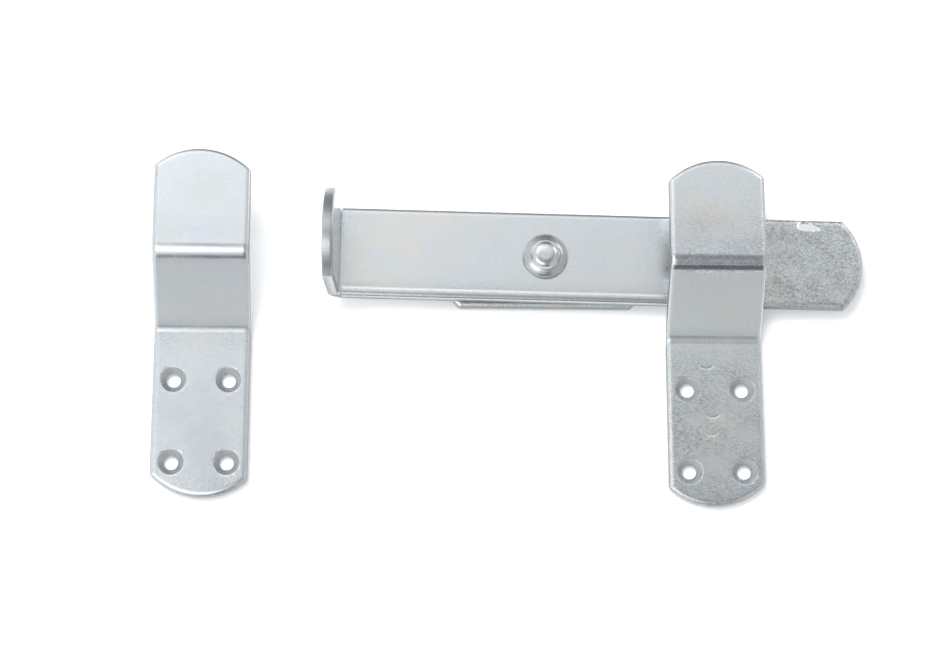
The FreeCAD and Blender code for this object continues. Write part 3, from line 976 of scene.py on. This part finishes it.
class BarLooks:
    """Where the bar's plating is grainy, warm, polished or dull, where light and shade are painted (a
    highlight line beside the lower band, shade on the lip's rim), and how its front is dented.
    """

    def __init__(self, outline, path, pivot_s, steel):
        self.outline = outline
        self.bend = path.bends[0]
        self.pivot_s = pivot_s
        self.roll_width = steel.roll_width
        self.nick_s = pivot_s + NICK_FROM_PIVOT
        self.nick_v = NICK_FROM_EDGE - outline.half

    def nick(self, v, s):
        """1 in the middle of the nick, 0 at its outline."""
        x = (s - self.nick_s) / NICK_REACH
        y = (v - self.nick_v - 0.5 * MM * x) / (NICK_BREADTH * max(0.15, 1 - 0.35 * x))
        return max(0.0, 1 - x * x - y * y)

    def grain(self, v, s, x):
        patch = 0.8 + 0.5 * slow_noise(Vector((v, s, 0)), 7 * MM, 5.0)
        grain = 0.08 + 0.85 * smooth_step(x, *GRAINY_END) * patch
        return grain + 0.10 * (1 - smooth_step(x, -74 * MM, -56 * MM))

    def warmth(self, x):
        warmth = 0.13 * bump_at(x, -38 * MM, 22 * MM) + 0.08 * bump_at(x, 76 * MM, 7 * MM)
        return warmth - 0.12 * bump_at(x, 42 * MM, 14 * MM)

    def at(self, v, s, w):
        x = s - self.pivot_s
        grain = self.grain(v, s, x)
        warmth = self.warmth(x)
        inset = self.outline.depth(v, s)
        begin, end, _ = self.bend
        # the lip's front rim takes the dark colour: painted shade that tones down its bright reflection
        if w > 0 and s < begin and inset < 0.9 * self.roll_width:
            return grain, warmth, 0.0, LIP_RIM_SHADE
        # a painted highlight line beside the band; inside it, the band is drawn greyer and cooler towards
        # the edge
        if w > 0 and v > 0 and s > end and inset < 3.5 * MM and x < BAND_END:
            if inset > BAND_WIDTH:
                return grain, warmth, 0.5, RUBBED_AND_HIGHLIGHT * bump_at(inset, BAND_HIGHLIGHT_LINE, 0.3 * MM)
            return grain, warmth - 0.2, 0.0, 0.875 + 0.04 * (1 - inset / BAND_WIDTH)
        if w > 0 and self.nick(v, s) > 0.05:
            return 0.0, 0.0, 0.8, RUBBED_AND_HIGHLIGHT
        return grain, warmth, 0.0, 0.0

    def dent(self, v, s):
        """The nick, deepest along its lower side, and the groove beside the band."""
        inside = smooth_step(self.nick(v, s), 0.0, 0.16)
        fall = max(0.0, self.nick_v + NICK_BREADTH - v)
        inset = self.outline.half - v
        end = self.bend[1]
        groove = smooth_step(inset, *GROOVE_NEAR_SIDE) * (1 - smooth_step(inset, *GROOVE_FAR_SIDE))
        groove *= smooth_step(s, end, end + 3 * MM)
        groove *= 1 - smooth_step(s, self.pivot_s + 68 * MM, self.pivot_s + 74 * MM)
        return -inside * (0.05 * MM + 0.08 * fall) - GROOVE_DEPTH * groove


# how far the lip's tip stays below the top of the frame's box, because its corner rises as it leans
LIP_TIP_MARGIN = 0.2 * MM


def bar_path(low, high, steel, bar):
    """The bar's mid line, from the lip's tip down round its bend and along to the plain end."""
    mid = steel.thickness / 2
    down = Vector((math.sin(bar.lip_lean), -math.cos(bar.lip_lean)))
    inward = Vector((math.cos(bar.lip_lean), math.sin(bar.lip_lean)))
    outer = Vector((-bar.short_arm, 0.0)) + inward * mid
    root = outer - down * ((mid - outer.y) / -down.y)
    tip = root - down * ((high.z - low.z - LIP_TIP_MARGIN - mid) / -down.y)
    return BentPath([(tip.x, tip.y), (root.x, root.y), (bar.long_arm, mid)], bar.bend_radius)


def make_bar():
    steel = settings("steel")
    bar = settings("bar")
    finish = settings("finish")
    low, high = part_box("kick_bar")
    path = bar_path(low, high, steel, bar)
    half = bar.width / 2
    outline = StripOutline(half, path.length, bar.end_radius, steel.corner_round)
    pivot_s = path.length - bar.long_arm
    mid = steel.thickness / 2
    ring = bar.bore / 2
    ease = 0.2 * MM
    bore = [(ring + ease, mid), (ring, mid - ease), (ring, ease - mid), (ring + ease, -mid)]
    bm = make_blank(outline, steel, steel.thickness, [(0.0, pivot_s, bore)])
    looks = BarLooks(outline, path, pivot_s, steel)
    nick_cuts = [looks.nick_v + k * 0.4 * MM for k in range(-4, 6)]
    cut_at(bm, 0, spaced(-half, half, steel.mesh_step) + nick_cuts)
    cut_at(bm, 0, [half - k * 0.25 * MM for k in range(10, 16)])
    cut_at(bm, 1, stations(path, steel) + [looks.nick_s + k * 0.5 * MM for k in range(-11, 12)])
    droop = Matrix.Rotation(-bar.droop, 4, "Z")

    def place(v, along, up):
        return droop @ Vector((along, -v, low.z + up))

    marks = lay_strip(bm, outline, path, steel, place, looks)
    material = plated_material("Zinc kick_bar", finish.zinc, finish.roughness, 0.42, 0.03)
    finish_piece("kick_bar_plated", bm, marks, material, "bar", "kick_bar")


def turned(profile, around, wobble):
    """A closed turned solid, its points moved by wobble.

    profile is (radius, height) from the axis at the top to the axis below.
    """
    bm = bmesh.new()
    top = bm.verts.new((0, 0, profile[0][1]))
    bottom = bm.verts.new((0, 0, profile[-1][1]))
    rings = []
    for radius, height in profile[1:-1]:
        rings.append([bm.verts.new(wobble(Vector((x, y, height)))) for x, y in circle(radius, around)])
    join_rings(bm, rings)
    for k in range(around):
        after = (k + 1) % around
        bm.faces.new((top, rings[0][k], rings[0][after]))
        bm.faces.new((bottom, rings[-1][after], rings[-1][k]))
    return bm


# the rivet's dome: how flat its crown is, and the heights of its edge marks, which paint a highlight on the
# dome's cap and shade on the side below the rim
CROWN_SHARE = 0.97
CROWN_FALL = 0.80
CROWN_POWER = 4.5
CROWN_STEPS = 8
FOOT_SHARE = 1.03
SKIRT_STEPS = 14
DOME_HIGHLIGHT = 0.42
BELOW_RIM_SHADE = 0.97


def rivet_profile(low, high, rivet):
    """(radius, height) down the dome, its skirt, the rim, the shank and the closed tail."""
    seat = high.z - rivet.dome_height
    rim = rivet.rim_radius
    dome = rivet.dome_radius
    rim_top = seat + rivet.rim_height
    step_top = seat + rivet.step_height
    profile = [(0.0, high.z)]
    for k in range(1, CROWN_STEPS + 1):
        r = dome * CROWN_SHARE * k / CROWN_STEPS
        profile.append((r, high.z - (high.z - step_top) * CROWN_FALL * (r / dome) ** CROWN_POWER))
    foot_radius = dome * FOOT_SHARE
    foot = step_top - 0.15 * MM
    profile += [(dome, step_top + 0.05 * MM), (foot_radius, foot)]
    for k in range(1, SKIRT_STEPS + 1):
        t = k / SKIRT_STEPS
        r = foot_radius + (rim - foot_radius) * t ** 0.8
        profile.append((r, foot - (foot - rim_top) * (0.8 * t + 0.2 * t ** 4)))
    profile += [(rim, rim_top - 0.25 * MM), (rim - 0.08 * MM, seat + 0.35 * MM)]
    profile += [(rim - 0.35 * MM, seat + 0.06 * MM), (rim - 0.8 * MM, seat)]
    shank = rivet.shank_radius
    tail = rivet.tail_size
    profile += [(shank + 0.1 * MM, seat), (shank, seat - 0.1 * MM), (shank, low.z + tail)]
    profile += [(shank + tail * 0.96, low.z + 0.04 * tail), (shank + tail * 0.9, low.z), (0.0, low.z)]
    return profile


def make_rivet():
    rivet = settings("rivet")
    finish = settings("finish")
    low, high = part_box("pivot_rivet")
    seat = high.z - rivet.dome_height
    rim_top = seat + rivet.rim_height

    def wobble(point):
        """The setting tool's unevenness, on the head alone and never above its top."""
        if point.z < seat + 0.3 * MM:
            return point
        flat = Vector((point.x, point.y, 0.0))
        lift = rivet.dents * slow_noise(point, 2.6 * MM, 7.0)
        grow = 1 + 0.006 * slow_noise(flat, 5 * MM, 2.0)
        return Vector((point.x * grow, point.y * grow, min(high.z, point.z + lift)))

    bm = turned(rivet_profile(low, high, rivet), rivet.around, wobble)
    marks = {name: [] for name in MARKS}
    for vert in bm.verts:
        r = math.hypot(vert.co.x, vert.co.y)
        below_rim = smooth_step(vert.co.z, rim_top, rim_top - 0.4 * MM)
        # the dome takes the bright colour, a painted highlight on its cap against the darker rivet colour;
        # the side below the rim takes the dark colour, painted shade under the rim
        if r <= rivet.dome_radius * FOOT_SHARE:
            edge = DOME_HIGHLIGHT
        else:
            edge = BELOW_RIM_SHADE * below_rim if r > rivet.rim_radius - 1.3 * MM else 0.0
        add_marks(marks, edge, 0.04, 0.0, 0.6 if r < rivet.dome_radius else 0.0)
    material = plated_material("Rivet steel", finish.rivet, finish.roughness, 0.03, -0.02)
    finish_piece("pivot_rivet_set", bm, marks, material, "fixed", "pivot_rivet")


PLATE_CORNER_CUT = 2.0 * MM
PLATE_SCREWS_ACROSS = (-10 * MM, 10 * MM)
PLATE_SCREWS_ALONG = (-25 * MM, 25 * MM)


def make_plate():
    steel = settings("steel")
    keeper = settings("keeper")
    rivet = settings("rivet")
    finish = settings("finish")
    low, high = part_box("back_plate")
    thickness = high.z - low.z
    half = (high.y - low.y) / 2
    full = high.x - low.x
    outline = PlateOutline(half, full, PLATE_CORNER_CUT)
    shank = rivet.shank_radius
    rivet_hole = [
        (shank, thickness / 2),
        (shank, rivet.tail_size - thickness / 2),
        (shank + rivet.tail_size, -thickness / 2),
    ]
    holes = [(0.0, full / 2, rivet_hole)]
    profile = screw_hole(keeper, thickness)
    for across in PLATE_SCREWS_ACROSS:
        for along in PLATE_SCREWS_ALONG:
            holes.append((across, full / 2 + along, profile))
    bm = make_blank(outline, steel, thickness, holes)
    cut_at(bm, 0, spaced(-half, half, steel.mesh_step))
    cut_at(bm, 1, spaced(0, full, steel.mesh_step))
    marks = {name: [] for name in MARKS}
    for vert in bm.verts:
        v, s, w = vert.co
        add_marks(marks, edge_mark(outline.depth(v, s), w, steel, thickness, PLATE_SIDE), 0.3, 0.0, 0.0)
        vert.co = (low.x + s, -v, low.z + thickness / 2 + w)
    material = plated_material("Zinc back_plate", finish.zinc, finish.roughness + 0.05, 0.5, 0.0)
    finish_piece("back_plate_plated", bm, marks, material, "fixed", "back_plate")


def make_washer():
    low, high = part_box("spacer_washer")
    outer = (high.x - low.x) / 2
    inner = settings("bar").bore / 2
    ease = 0.15 * MM
    section = [
        (inner + ease, high.z),
        (outer - ease, high.z),
        (outer, high.z - ease),
        (outer, low.z + ease),
        (outer - ease, low.z),
        (inner + ease, low.z),
        (inner, low.z + ease),
        (inner, high.z - ease),
    ]
    bm = bmesh.new()
    rings = []
    for radius, height in section:
        rings.append([bm.verts.new((x, y, height)) for x, y in circle(radius, WASHER_POINTS)])
    join_rings(bm, rings + rings[:1])
    marks = {name: [] for name in MARKS}
    for _ in bm.verts:
        add_marks(marks, 0.3, 0.3, 0.0, 0.0)
    finish = settings("finish")
    material = plated_material("Zinc spacer_washer", finish.zinc, finish.roughness, 0.4, 0.0)
    finish_piece("spacer_washer_plated", bm, marks, material, "fixed", "spacer_washer")


# ---------------------------------------------------------------- stage


FLOOR_HALF = 3.0
FLOOR_GAP = 0.05 * MM


def make_floor(material):
    bm = bmesh.new()
    bmesh.ops.create_grid(bm, x_segments=8, y_segments=8, size=FLOOR_HALF)
    mesh = bpy.data.meshes.new("floor")
    bm.to_mesh(mesh)
    bm.free()
    floor = bpy.data.objects.new("floor", mesh)
    bpy.context.scene.collection.objects.link(floor)
    floor.location.z = -FLOOR_GAP
    mesh.materials.append(material)


def area_light(name, place, aim, size, strength, seen=True):
    light = bpy.data.lights.new(name, "AREA")
    light.shape = "RECTANGLE"
    light.size, light.size_y = size
    light.energy = strength * math.pi * size[0] * size[1]
    holder = bpy.data.objects.new(name, light)
    bpy.context.scene.collection.objects.link(holder)
    holder.location = place
    direction = Vector(aim) - Vector(place)
    holder.rotation_euler = direction.to_track_quat("-Z", "Y").to_euler()
    holder.visible_camera = False
    holder.visible_glossy = seen


# how bright the room is from the camera's side (y = -1) over the top (0) to the far side (1)
ROOM_LEVELS = (
    (-1.0, 0.82),
    (-0.89, 0.80),
    (-0.85, 0.50),
    (-0.81, 0.03),
    (-0.74, 0.05),
    (-0.67, 0.70),
    (-0.58, 0.92),
    (-0.30, 0.90),
    (-0.14, 0.42),
    (0.04, 0.44),
    (0.15, 0.44),
    (0.20, 0.68),
    (0.27, 0.98),
    (0.31, 1.14),
    (0.34, 1.45),
    (0.58, 1.30),
    (0.74, 0.40),
    (1.0, 0.30),
)


ROOM_STRENGTH = 2.0
ROOM_COLOUR = (0.985, 0.995, 1.0)


def room_ramp(tree, sideways):
    """The room's brightness, halved so that it fits in a colour, by how far a direction points along y."""
    spread = map_range(tree, sideways, -1.0, 1.0, 0.0, 1.0, kind="LINEAR")
    ramp = add(tree, "ShaderNodeValToRGB")
    tree.links.new(spread, ramp.inputs[0])
    elements = ramp.color_ramp.elements
    while len(elements) > 1:
        elements.remove(elements[-1])
    elements[0].position = (ROOM_LEVELS[0][0] + 1) / 2
    for y, _ in ROOM_LEVELS[1:]:
        elements.new((y + 1) / 2)
    for element, (_, level) in zip(elements, ROOM_LEVELS):
        element.color = opaque([level / ROOM_STRENGTH] * 3)
    return ramp.outputs[0]


def make_world():
    """Soft white room: brightest on the far side, dimmer to the right, a dark strip on the near side."""
    world = bpy.data.worlds.new("Soft room")
    bpy.context.scene.world = world
    world.use_nodes = True
    tree = world.node_tree
    background = tree.nodes["Background"]
    direction = add(tree, "ShaderNodeTexCoord").outputs["Generated"]
    split = add(tree, "ShaderNodeSeparateXYZ")
    tree.links.new(direction, split.inputs[0])
    x = split.outputs["X"]
    y = split.outputs["Y"]
    brightness = room_ramp(tree, y)
    right_side = map_range(tree, x, -0.22, 0.36, 1.19, 0.42, kind="LINEAR")
    near_right = map_range(tree, x, -0.06, 0.14, 1.0, 0.42)
    darker_right = math_node(tree, "POWER", near_right, 3.0)
    near_right = mix_value(tree, map_range(tree, y, -0.44, -0.58, 0.0, 1.0), near_right, darker_right)
    high_up = map_range(tree, y, -0.32, -0.14, 0.0, 1.0)
    low_down = map_range(tree, y, -0.64, -0.74, 0.0, 1.0)
    side = mix_value(tree, high_up, near_right, right_side)
    side = mix_value(tree, low_down, side, 1.0)
    far_out = map_range(tree, math_node(tree, "ABSOLUTE", x), 0.20, 0.42, 0.0, 1.0)
    level = math_node(tree, "MULTIPLY", brightness, side)
    outside = map_range(tree, x, -0.3, 0.3, 0.42, 0.30)
    level = mix_value(tree, far_out, level, outside)
    colour_out = mix_colour(tree, level, (0, 0, 0, 1), opaque(ROOM_COLOUR))
    tree.links.new(colour_out, background.inputs["Color"])
    background.inputs["Strength"].default_value = ROOM_STRENGTH


def make_camera():
    stage = settings("stage")
    data = bpy.data.cameras.new("camera")
    data.lens = stage.lens
    data.sensor_width = 36.0
    data.clip_end = 20.0
    camera = bpy.data.objects.new("camera", data)
    bpy.context.scene.collection.objects.link(camera)
    turn = Matrix.Rotation(stage.roll, 4, "Z")
    turn = turn @ Matrix.Rotation(stage.tip, 4, "X")
    turn = turn @ Matrix.Rotation(-stage.side, 4, "Y")
    place = Vector(stage.target) + turn @ Vector((0, 0, stage.distance))
    camera.matrix_world = Matrix.Translation(place) @ turn
    bpy.context.scene.camera = camera


def make_stage():
    bpy.context.scene.view_settings.view_transform = "Standard"
    make_floor(floor_material())
    make_world()
    area_light("front box", (-0.30, -0.20, 0.80), (-0.1, 0, 0), (0.40, 0.36), 1.3)
    area_light("side box", (0.42, 0.40, 0.60), (0, 0, 0), (0.22, 0.22), 1.8)
    area_light("floor wash", (-0.55, 0.52, 1.40), (0, 0, 0), (1.0, 1.0), 6.5, seen=False)
    make_camera()


# ---------------------------------------------------------------- add-on


class GATELATCH_OT_keepers(bpy.types.Operator):
    """Build both cranked keepers"""

    bl_idname = "gate_latch.keepers"
    bl_label = "Keepers"

    def execute(self, context):
        for node in KEEPERS:
            make_keeper(node)
        return {"FINISHED"}


class GATELATCH_OT_bar(bpy.types.Operator):
    """Build the kick bar with its lip"""

    bl_idname = "gate_latch.bar"
    bl_label = "Kick bar"

    def execute(self, context):
        make_bar()
        return {"FINISHED"}


class GATELATCH_OT_rivet(bpy.types.Operator):
    """Build the pivot rivet"""

    bl_idname = "gate_latch.rivet"
    bl_label = "Pivot rivet"

    def execute(self, context):
        make_rivet()
        return {"FINISHED"}


class GATELATCH_OT_plate(bpy.types.Operator):
    """Build the back plate and the washer on it"""

    bl_idname = "gate_latch.plate"
    bl_label = "Back plate"

    def execute(self, context):
        make_plate()
        make_washer()
        return {"FINISHED"}


class GATELATCH_OT_stage(bpy.types.Operator):
    """Build the floor, the lights and the camera"""

    bl_idname = "gate_latch.stage"
    bl_label = "Stage"

    def execute(self, context):
        make_stage()
        return {"FINISHED"}


OPERATORS = (
    GATELATCH_OT_keepers,
    GATELATCH_OT_bar,
    GATELATCH_OT_rivet,
    GATELATCH_OT_plate,
    GATELATCH_OT_stage,
)


class GATELATCH_PT_panel(bpy.types.Panel):
    """Lists the pieces of the gate latch"""

    bl_label = "Gate latch"
    bl_idname = "GATELATCH_PT_panel"
    bl_space_type = "VIEW_3D"
    bl_region_type = "UI"
    bl_category = "Gate latch"

    def draw(self, context):
        for operator in OPERATORS:
            self.layout.operator(operator.bl_idname)
        for name, kind in SETTINGS.items():
            box = self.layout.box()
            for label in kind.__annotations__:
                box.prop(getattr(context.scene, name), label)


def register():
    for kind in (*SETTINGS.values(), *OPERATORS, GATELATCH_PT_panel):
        bpy.utils.register_class(kind)
    for name, kind in SETTINGS.items():
        setattr(bpy.types.Scene, name, PointerProperty(type=kind))


def unregister():
    for name in SETTINGS:
        delattr(bpy.types.Scene, name)
    for kind in (GATELATCH_PT_panel, *OPERATORS, *SETTINGS.values()):
        bpy.utils.unregister_class(kind)


def main():
    register()
    bpy.ops.gate_latch.keepers()
    bpy.ops.gate_latch.bar()
    bpy.ops.gate_latch.rivet()
    bpy.ops.gate_latch.plate()
    bpy.ops.gate_latch.stage()


if __name__ == "__main__":
    main()
